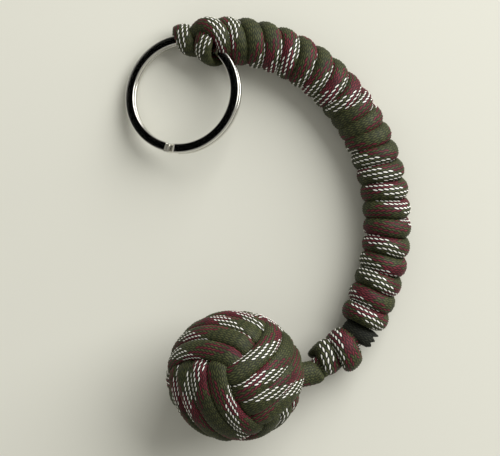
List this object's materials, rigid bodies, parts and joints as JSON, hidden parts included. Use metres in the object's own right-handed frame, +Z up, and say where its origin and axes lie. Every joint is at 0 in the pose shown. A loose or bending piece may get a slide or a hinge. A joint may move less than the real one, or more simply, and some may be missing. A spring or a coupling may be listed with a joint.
{
  "type": "keychain",
  "caption": "Monkey fist keychain: a cord-wound ball and knot on a curved cord handle, with a flat-wire split ring in a cord loop.",
  "frame": {"origin": "on the table, under the middle of the keychain's bounding box", "axes": "+Z up from the table; +Y from the fist towards the split ring, as the picture shows it; +X to the picture's right"},
  "size_m": [0.071, 0.1042, 0.0331],
  "materials": {
    "cord_olive": "braided nylon sheath, dark olive with white and maroon tracer yarns",
    "cord_maroon": "braided nylon sheath where its maroon tracer yarns face out",
    "cord_moss": "braided nylon sheath, dark green",
    "singed_cord": "nylon end melted with a flame",
    "ball_steel": "plain bearing ball, hidden",
    "ring_plating": "bright nickel plate"
  },
  "bodies": {
    "fist": {"fist_lead": "cord_olive", "core_ball": "ball_steel", "fist_first_turns": "cord_olive", "fist_second_turns": "cord_maroon", "fist_third_turns": "cord_moss"},
    "knot": {"stopper_knot": "cord_maroon", "neck_cord": "cord_olive"},
    "handle_5": {"handle_wrap_5": "cord_olive", "core_strand_5": "cord_maroon", "wrap_tail": "singed_cord"},
    "handle_4": {"handle_wrap_4": "cord_moss", "core_strand_4": "cord_maroon"},
    "handle_3": {"handle_wrap_3": "cord_olive", "core_strand_3": "cord_maroon"},
    "handle_2": {"handle_wrap_2": "cord_moss", "core_strand_2": "cord_maroon"},
    "handle_1": {"handle_wrap_1": "cord_olive", "core_strand_1": "cord_maroon"},
    "loop": {"ring_loop": "cord_olive"},
    "ring": {"split_ring": "ring_plating"}
  },
  "joints": [
    {"name": "fist_bend", "type": "hinge", "parent": "fist", "child": "knot", "pos_m": [0.01097, -0.03648, 0.01016], "axis": [0, 0, -1], "range_deg": [-40, 50]},
    {"name": "knot_bend", "type": "hinge", "parent": "knot", "child": "handle_5", "pos_m": [0.02297, -0.02555, 0.00528], "axis": [0, 0, -1], "range_deg": [-12, 25]},
    {"name": "handle_bend_4", "type": "hinge", "parent": "handle_5", "child": "handle_4", "pos_m": [0.02961, -0.00351, 0.00528], "axis": [0, 0, -1], "range_deg": [-5, 15]},
    {"name": "handle_bend_3", "type": "hinge", "parent": "handle_4", "child": "handle_3", "pos_m": [0.02804, 0.01417, 0.00528], "axis": [0, 0, -1], "range_deg": [-5, 15]},
    {"name": "handle_bend_2", "type": "hinge", "parent": "handle_3", "child": "handle_2", "pos_m": [0.0176, 0.03365, 0.00528], "axis": [0, 0, -1], "range_deg": [-5, 15]},
    {"name": "handle_bend_1", "type": "hinge", "parent": "handle_2", "child": "handle_1", "pos_m": [0.0032, 0.04392, 0.00528], "axis": [0, 0, -1], "range_deg": [-5, 15]},
    {"name": "loop_swing", "type": "hinge", "parent": "handle_1", "child": "loop", "pos_m": [-0.0178, 0.04661, 0.00527], "axis": [-0.9252, 0.1827, -0.3326], "range_deg": [-15, 100]},
    {"name": "ring_turn", "type": "hinge", "parent": "loop", "child": "ring", "pos_m": [-0.02085, 0.03315, 0.00637], "axis": [-0.3087, 0.1472, 0.9397], "continuous": true}
  ],
  "couplings": [
    {"joint": "handle_bend_2", "follows": "handle_bend_1", "ratio": 1},
    {"joint": "handle_bend_3", "follows": "handle_bend_1", "ratio": 1},
    {"joint": "handle_bend_4", "follows": "handle_bend_1", "ratio": 1}
  ]
}
